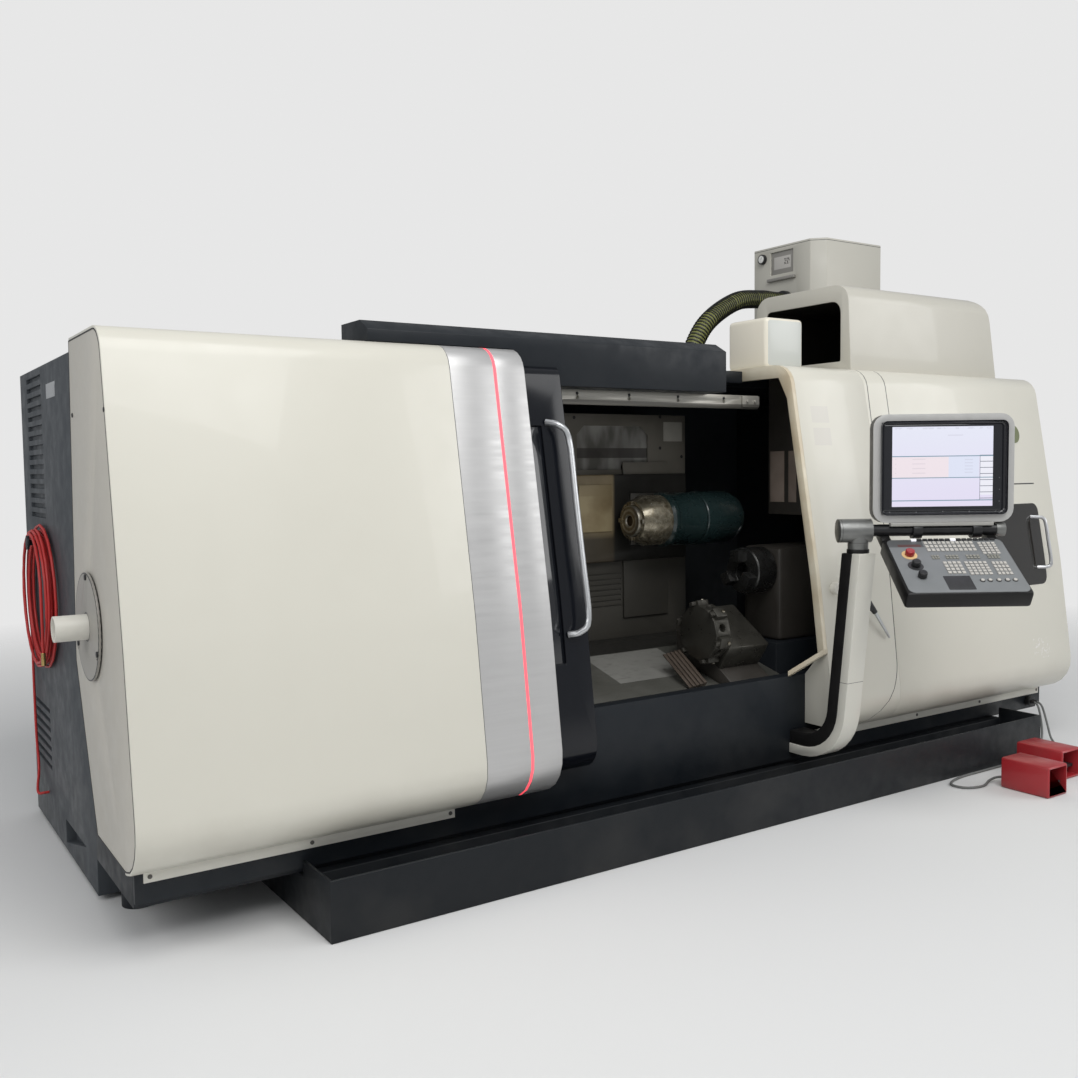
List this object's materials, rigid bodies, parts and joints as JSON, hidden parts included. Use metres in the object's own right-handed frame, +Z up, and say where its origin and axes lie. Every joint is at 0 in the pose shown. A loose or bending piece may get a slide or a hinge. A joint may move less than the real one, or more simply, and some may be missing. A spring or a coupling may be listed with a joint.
{
  "type": "cnc turning lathe",
  "caption": "Enclosed turn-mill lathe: main and counter spindle, swivelling milling head on a travelling column, lower turret, sliding door, operator panel and foot switches",
  "frame": {"origin": "on the floor under the middle of the machine, on the bottom face of the coolant tank", "axes": "+X along the spindle line from the main spindle to the counter spindle, +Y from the operator to the rear, +Z up"},
  "size_m": [5.258, 2.9475, 2.955],
  "materials": {
    "cream": "smooth enamel",
    "pale_grey": "satin enamel",
    "anthracite": "satin enamel",
    "cabinet_grey": "fine textured enamel",
    "brushed_silver": "brushed",
    "lamp_red": "diffusing lamp cover",
    "white_enamel": "satin enamel",
    "black_enamel": "gloss enamel",
    "black_plastic": "satin",
    "door_glass": "tinted",
    "steel": "ground",
    "cast_grey": "painted casting",
    "tan_enamel": "oil stained enamel",
    "teal_enamel": "gloss enamel",
    "key_grey": "fine textured",
    "red_enamel": "satin enamel",
    "red_plastic": "moulded",
    "red_hose": "extruded hose",
    "green_hose": "ribbed duct hose",
    "grey_cable": "cable sheath"
  },
  "bodies": {
    "machine": {"bed_frame": "anthracite", "front_apron": "anthracite", "coolant_tank": "anthracite", "headstock_cover": "cream", "left_end_plate": "pale_grey", "spindle_end_cap": "pale_grey", "bar_tube": "white_enamel", "silver_band": "brushed_silver", "light_strip": "lamp_red", "left_flange_strip": "white_enamel", "right_flange_strip": "white_enamel", "right_cover": "cream", "service_cover": "cream", "service_handle": "brushed_silver", "opening_frame": "cream", "cowl": "cream", "guard_box": "cream", "mist_extractor": "pale_grey", "extractor_hose": "green_hose", "electrical_cabinet": "cabinet_grey", "door_beam": "anthracite", "top_rail": "steel", "roof_panel": "anthracite", "rear_housing": "cabinet_grey", "side_wall": "cast_grey", "chip_slope": "steel", "headstock": "cast_grey", "hose_hook": "anthracite", "air_hose_coil": "red_hose", "air_hose_drop": "red_hose", "pedal_guard_left": "red_enamel", "pedal_guard_right": "red_enamel", "pedal_cable_left": "grey_cable", "pedal_cable_right": "grey_cable", "cable_gland": "steel", "arm_shell": "cream", "arm_cable_cover": "black_plastic"},
    "cabinet_door": {"cabinet_door": "cabinet_grey"},
    "door": {"door_panel": "black_enamel", "door_window": "door_glass", "door_handle": "brushed_silver"},
    "main_spindle": {"main_chuck": "steel"},
    "counter_unit": {"counter_spindle_housing": "cast_grey"},
    "counter_spindle": {"counter_chuck": "steel"},
    "column": {"column": "cast_grey"},
    "head_slide": {"head_slide": "tan_enamel"},
    "head_ram": {"head_ram": "steel"},
    "milling_head": {"milling_head": "teal_enamel"},
    "tool_spindle": {"tool_spindle": "steel"},
    "lower_saddle": {"lower_saddle": "steel"},
    "lower_slide": {"lower_slide": "cast_grey"},
    "turret_disc": {"turret_disc": "steel"},
    "panel": {"panel_tee": "brushed_silver"},
    "monitor": {"monitor": "brushed_silver"},
    "keyboard": {"keyboard": "key_grey"},
    "emergency_stop": {"emergency_stop": "red_plastic"},
    "feed_knob": {"feed_knob": "black_plastic"},
    "spindle_knob": {"spindle_knob": "black_plastic"},
    "pedal_left": {"pedal_left": "cast_grey"},
    "pedal_right": {"pedal_right": "cast_grey"}
  },
  "joints": [
    {"name": "cabinet_door_swing", "type": "hinge", "parent": "machine", "child": "cabinet_door", "pos_m": [-1.27, 1.1253, 1.065], "axis": [0, 0, -1], "range_deg": [0, 110]},
    {"name": "door_slide", "type": "slide", "parent": "machine", "child": "door", "axis": [1, 0, 0], "range_m": [0, 1.2]},
    {"name": "main_spin", "type": "hinge", "parent": "machine", "child": "main_spindle", "pos_m": [-0.8, -0.42, 1.055], "axis": [1, 0, 0], "continuous": true},
    {"name": "counter_travel", "type": "slide", "parent": "machine", "child": "counter_unit", "axis": [1, 0, 0], "range_m": [-0.2, 1]},
    {"name": "counter_spin", "type": "hinge", "parent": "counter_unit", "child": "counter_spindle", "pos_m": [0.545, -0.42, 1.055], "axis": [1, 0, 0], "continuous": true},
    {"name": "column_travel", "type": "slide", "parent": "machine", "child": "column", "axis": [1, 0, 0], "range_m": [-0.7, 0.65]},
    {"name": "head_lift", "type": "slide", "parent": "column", "child": "head_slide", "axis": [0, 0, -1], "range_m": [-0.14, 0.3]},
    {"name": "ram_travel", "type": "slide", "parent": "head_slide", "child": "head_ram", "axis": [0, 1, 0], "range_m": [-0.3, 0]},
    {"name": "head_swivel", "type": "hinge", "parent": "head_ram", "child": "milling_head", "pos_m": [0.3, -0.13, 1.316], "axis": [0, -1, 0], "range_deg": [-15, 195]},
    {"name": "tool_spin", "type": "hinge", "parent": "milling_head", "child": "tool_spindle", "pos_m": [0.047, -0.13, 1.316], "axis": [1, 0, 0], "continuous": true},
    {"name": "saddle_travel", "type": "slide", "parent": "machine", "child": "lower_saddle", "axis": [1, 0, 0], "range_m": [-0.75, 0.1]},
    {"name": "turret_infeed", "type": "slide", "parent": "lower_saddle", "child": "lower_slide", "axis": [0, 0.829, 0.5592], "range_m": [-0.06, 0.06]},
    {"name": "turret_index", "type": "hinge", "parent": "lower_slide", "child": "turret_disc", "pos_m": [0.1347, -0.59159, 0.80248], "axis": [1, 0, 0], "continuous": true},
    {"name": "panel_turn", "type": "hinge", "parent": "machine", "child": "panel", "pos_m": [0.526, -1.169, 1.29], "axis": [0, 0, 1], "range_deg": [-90, 45]},
    {"name": "monitor_tilt", "type": "hinge", "parent": "panel", "child": "monitor", "pos_m": [0.526, -1.169, 1.29], "axis": [0.8333, -0.5528, 0], "range_deg": [-15, 10]},
    {"name": "keyboard_tilt", "type": "hinge", "parent": "panel", "child": "keyboard", "pos_m": [0.526, -1.169, 1.29], "axis": [0.8333, -0.5528, 0], "range_deg": [-20, 20]},
    {"name": "emergency_push", "type": "slide", "parent": "keyboard", "child": "emergency_stop", "axis": [0.2847, 0.4292, -0.8572], "range_m": [0, 0.004], "stiffness_N_per_m": 600},
    {"name": "feed_turn", "type": "hinge", "parent": "keyboard", "child": "feed_knob", "pos_m": [0.5618, -1.44969, 1.14735], "axis": [-0.2847, -0.4292, 0.8572], "range_deg": [-150, 150]},
    {"name": "spindle_turn", "type": "hinge", "parent": "keyboard", "child": "spindle_knob", "pos_m": [0.52722, -1.50904, 1.10615], "axis": [-0.2847, -0.4292, 0.8572], "range_deg": [-150, 150]},
    {"name": "pedal_press_left", "type": "hinge", "parent": "machine", "child": "pedal_left", "pos_m": [1.5, -1.344, 0.054], "axis": [1, 0, 0], "range_deg": [0, 10], "stiffness_Nm_per_rad": 30},
    {"name": "pedal_press_right", "type": "hinge", "parent": "machine", "child": "pedal_right", "pos_m": [1.83, -1.214, 0.054], "axis": [1, 0, 0], "range_deg": [0, 10], "stiffness_Nm_per_rad": 30}
  ]
}
